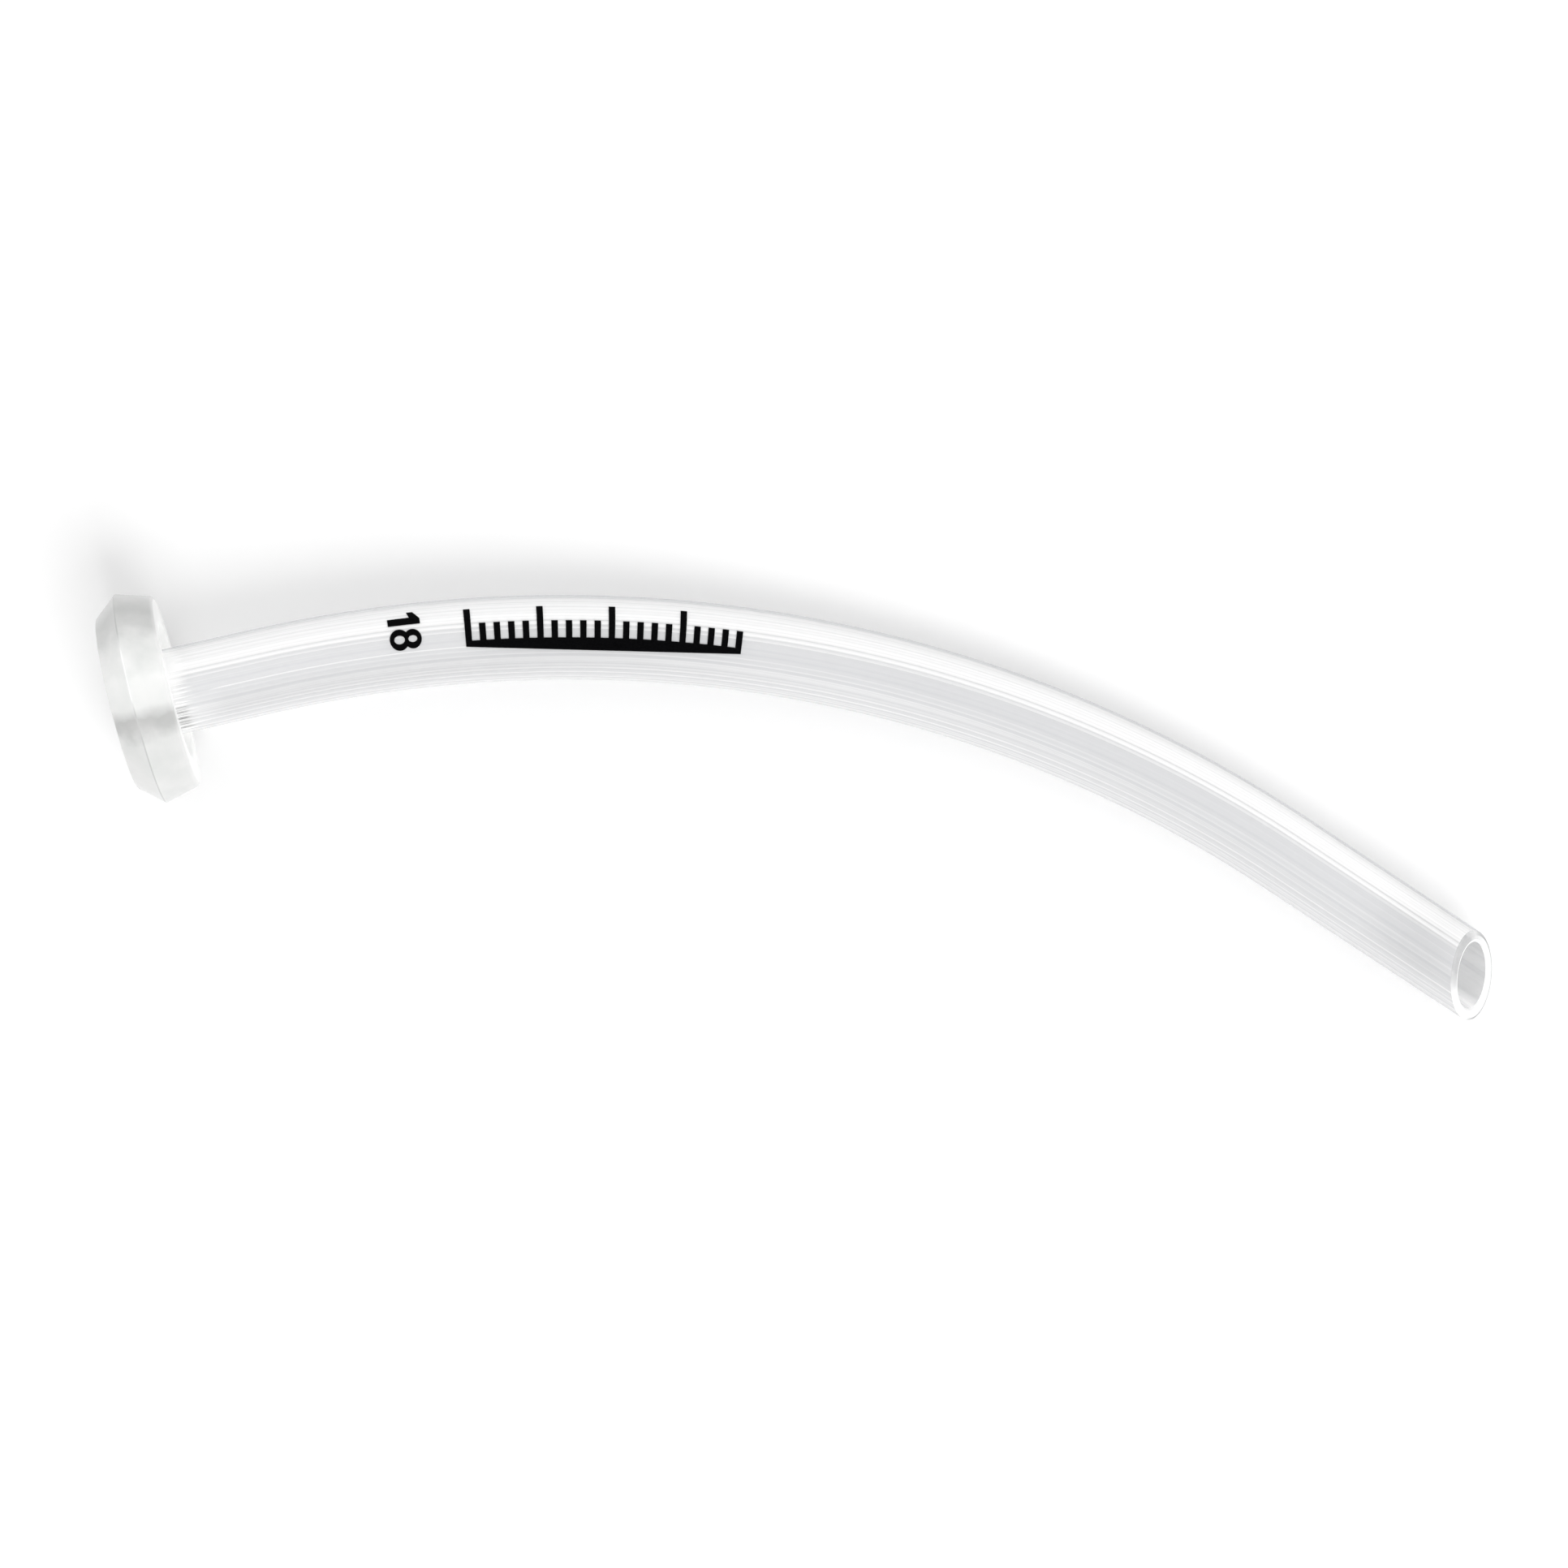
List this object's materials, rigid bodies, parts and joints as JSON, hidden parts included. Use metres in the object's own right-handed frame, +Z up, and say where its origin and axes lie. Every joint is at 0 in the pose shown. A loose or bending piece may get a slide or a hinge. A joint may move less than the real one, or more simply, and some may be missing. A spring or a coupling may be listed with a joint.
{
  "type": "nasopharyngeal airway",
  "caption": "Clear soft curved nasal airway tube with a slanted rounded tip, bonded into a milky round flange with a recessed tube side, with black size and depth print.",
  "frame": {"origin": "on the surface the airway lies on, under the middle of its box", "axes": "+X along the tube out of the flange, level; +Z up; the tube's bend turns towards -Y"},
  "size_m": [0.0932, 0.0524, 0.0147],
  "materials": {
    "clear_tube": "clear soft PVC, glossy, with fine lengthwise lines from the extrusion die",
    "milky_flange": "milky translucent moulded PVC, satin to glossy",
    "black_ink": "solid black printing ink, slightly satin"
  },
  "bodies": {
    "root": {"airway_tube": "clear_tube", "flange": "milky_flange", "size_digit_1": "black_ink", "size_digit_8": "black_ink", "depth_scale": "black_ink"}
  },
  "joints": []
}
